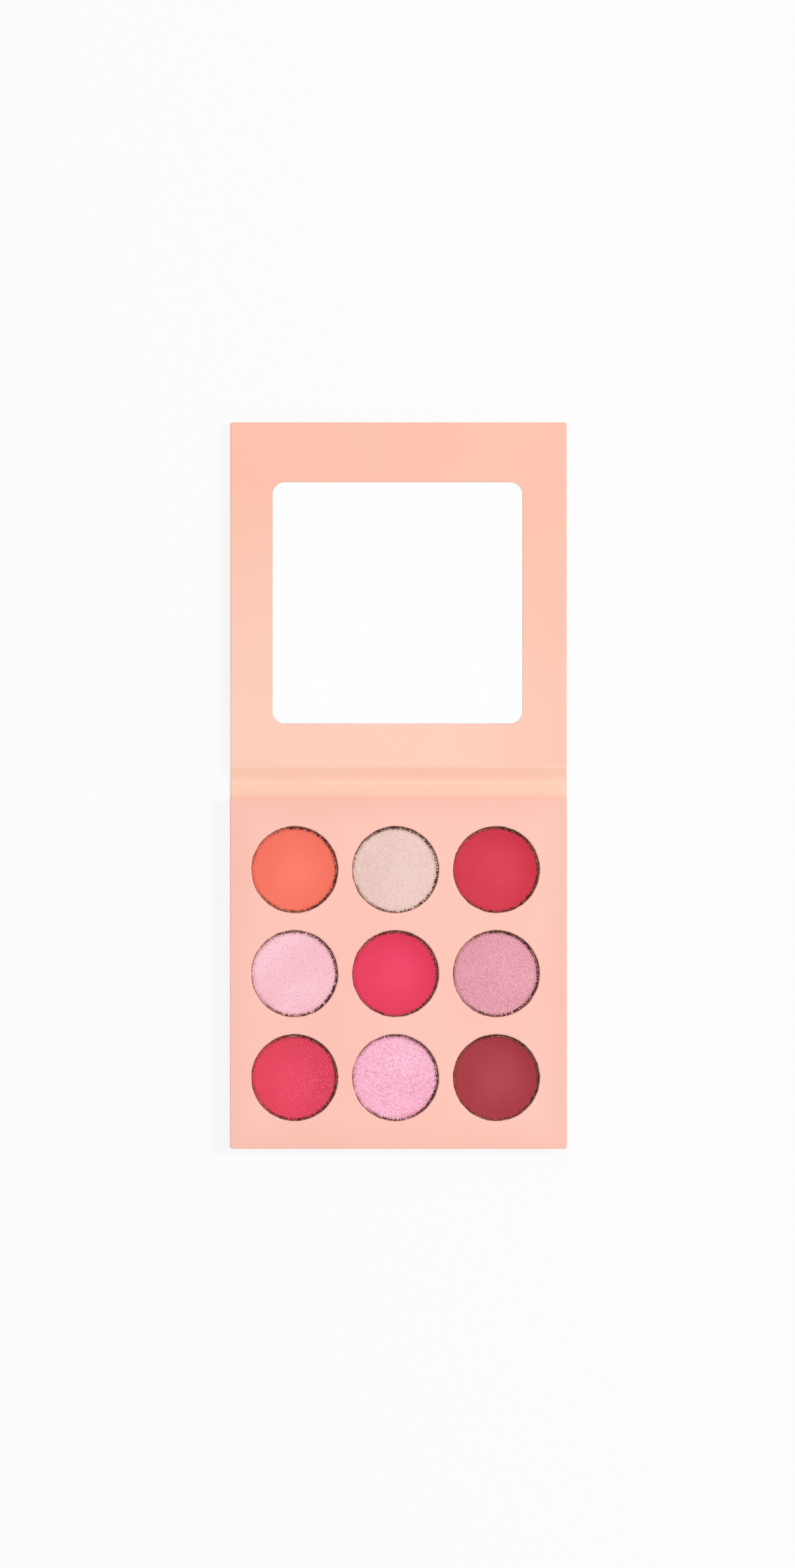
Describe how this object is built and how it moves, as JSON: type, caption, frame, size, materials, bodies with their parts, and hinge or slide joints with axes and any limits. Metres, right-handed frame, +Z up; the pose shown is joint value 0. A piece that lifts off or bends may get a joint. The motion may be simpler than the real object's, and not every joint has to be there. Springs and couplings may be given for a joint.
{
  "type": "eyeshadow palette",
  "caption": "Slim folding cardboard eyeshadow palette, open flat: round pans of pressed powder in a paper-covered tray, a card spine between paper folds, and a lid with a framed mirror.",
  "frame": {"origin": "on the table under the centre of the open, flat palette", "axes": "+Y from the tray to the lid, +Z up from the outer paper to the pans and mirror, +X to the right seen from above with the lid away"},
  "size_m": [0.105, 0.2266, 0.0055],
  "materials": {
    "printed_paper": "matte laminated",
    "greyboard": "raw",
    "tinplate": "bright drawn tinplate",
    "catch_steel": "plain",
    "magnet_nickel": "nickel plated",
    "mirror_glass": "polished",
    "mirror_silver": "silvered and painted back",
    "adhesive": "adhesive sheet",
    "glue": "dried glue",
    "powder_coral": "pressed powder",
    "powder_champagne": "pressed powder",
    "powder_poppy": "pressed powder",
    "powder_blush": "pressed powder",
    "powder_fuchsia": "pressed powder",
    "powder_mauve": "pressed powder",
    "powder_raspberry": "pressed powder",
    "powder_candy": "pressed powder",
    "powder_brick": "pressed powder"
  },
  "bodies": {
    "base": {"base_wrap": "printed_paper", "base_board": "greyboard", "base_lining": "printed_paper", "tray_lower_board": "greyboard", "tray_upper_board": "greyboard", "tray_wrap": "printed_paper", "pan_glue_dots": "glue", "catch_plates": "catch_steel", "tray_fold_paper": "printed_paper", "tray_fold_lining": "printed_paper", "pan_1": "tinplate", "pan_2": "tinplate", "pan_3": "tinplate", "pan_4": "tinplate", "pan_5": "tinplate", "pan_6": "tinplate", "pan_7": "tinplate", "pan_8": "tinplate", "pan_9": "tinplate", "shadow_coral": "powder_coral", "shadow_champagne": "powder_champagne", "shadow_poppy": "powder_poppy", "shadow_blush": "powder_blush", "shadow_fuchsia": "powder_fuchsia", "shadow_mauve": "powder_mauve", "shadow_raspberry": "powder_raspberry", "shadow_candy": "powder_candy", "shadow_brick": "powder_brick"},
    "spine": {"spine_wrap": "printed_paper", "spine_card": "greyboard", "spine_lining": "printed_paper", "lid_fold_paper": "printed_paper", "lid_fold_lining": "printed_paper"},
    "lid": {"lid_wrap": "printed_paper", "lid_board": "greyboard", "lid_lining": "printed_paper", "lid_frame": "greyboard", "frame_wrap": "printed_paper", "lid_magnets": "magnet_nickel", "mirror_tape": "adhesive", "mirror_silver": "mirror_silver", "mirror_glass": "mirror_glass"}
  },
  "joints": [
    {"name": "spine_fold", "type": "hinge", "parent": "base", "child": "spine", "pos_m": [0, -0.0033, 0.00015], "axis": [1, 0, 0], "range_deg": [0, 90], "deforming": ["tray_fold_paper", "tray_fold_lining"]},
    {"name": "lid_fold", "type": "hinge", "parent": "spine", "child": "lid", "pos_m": [0, 0.0048, 0.00015], "axis": [1, 0, 0], "range_deg": [0, 90], "deforming": ["lid_fold_paper", "lid_fold_lining"]}
  ]
}
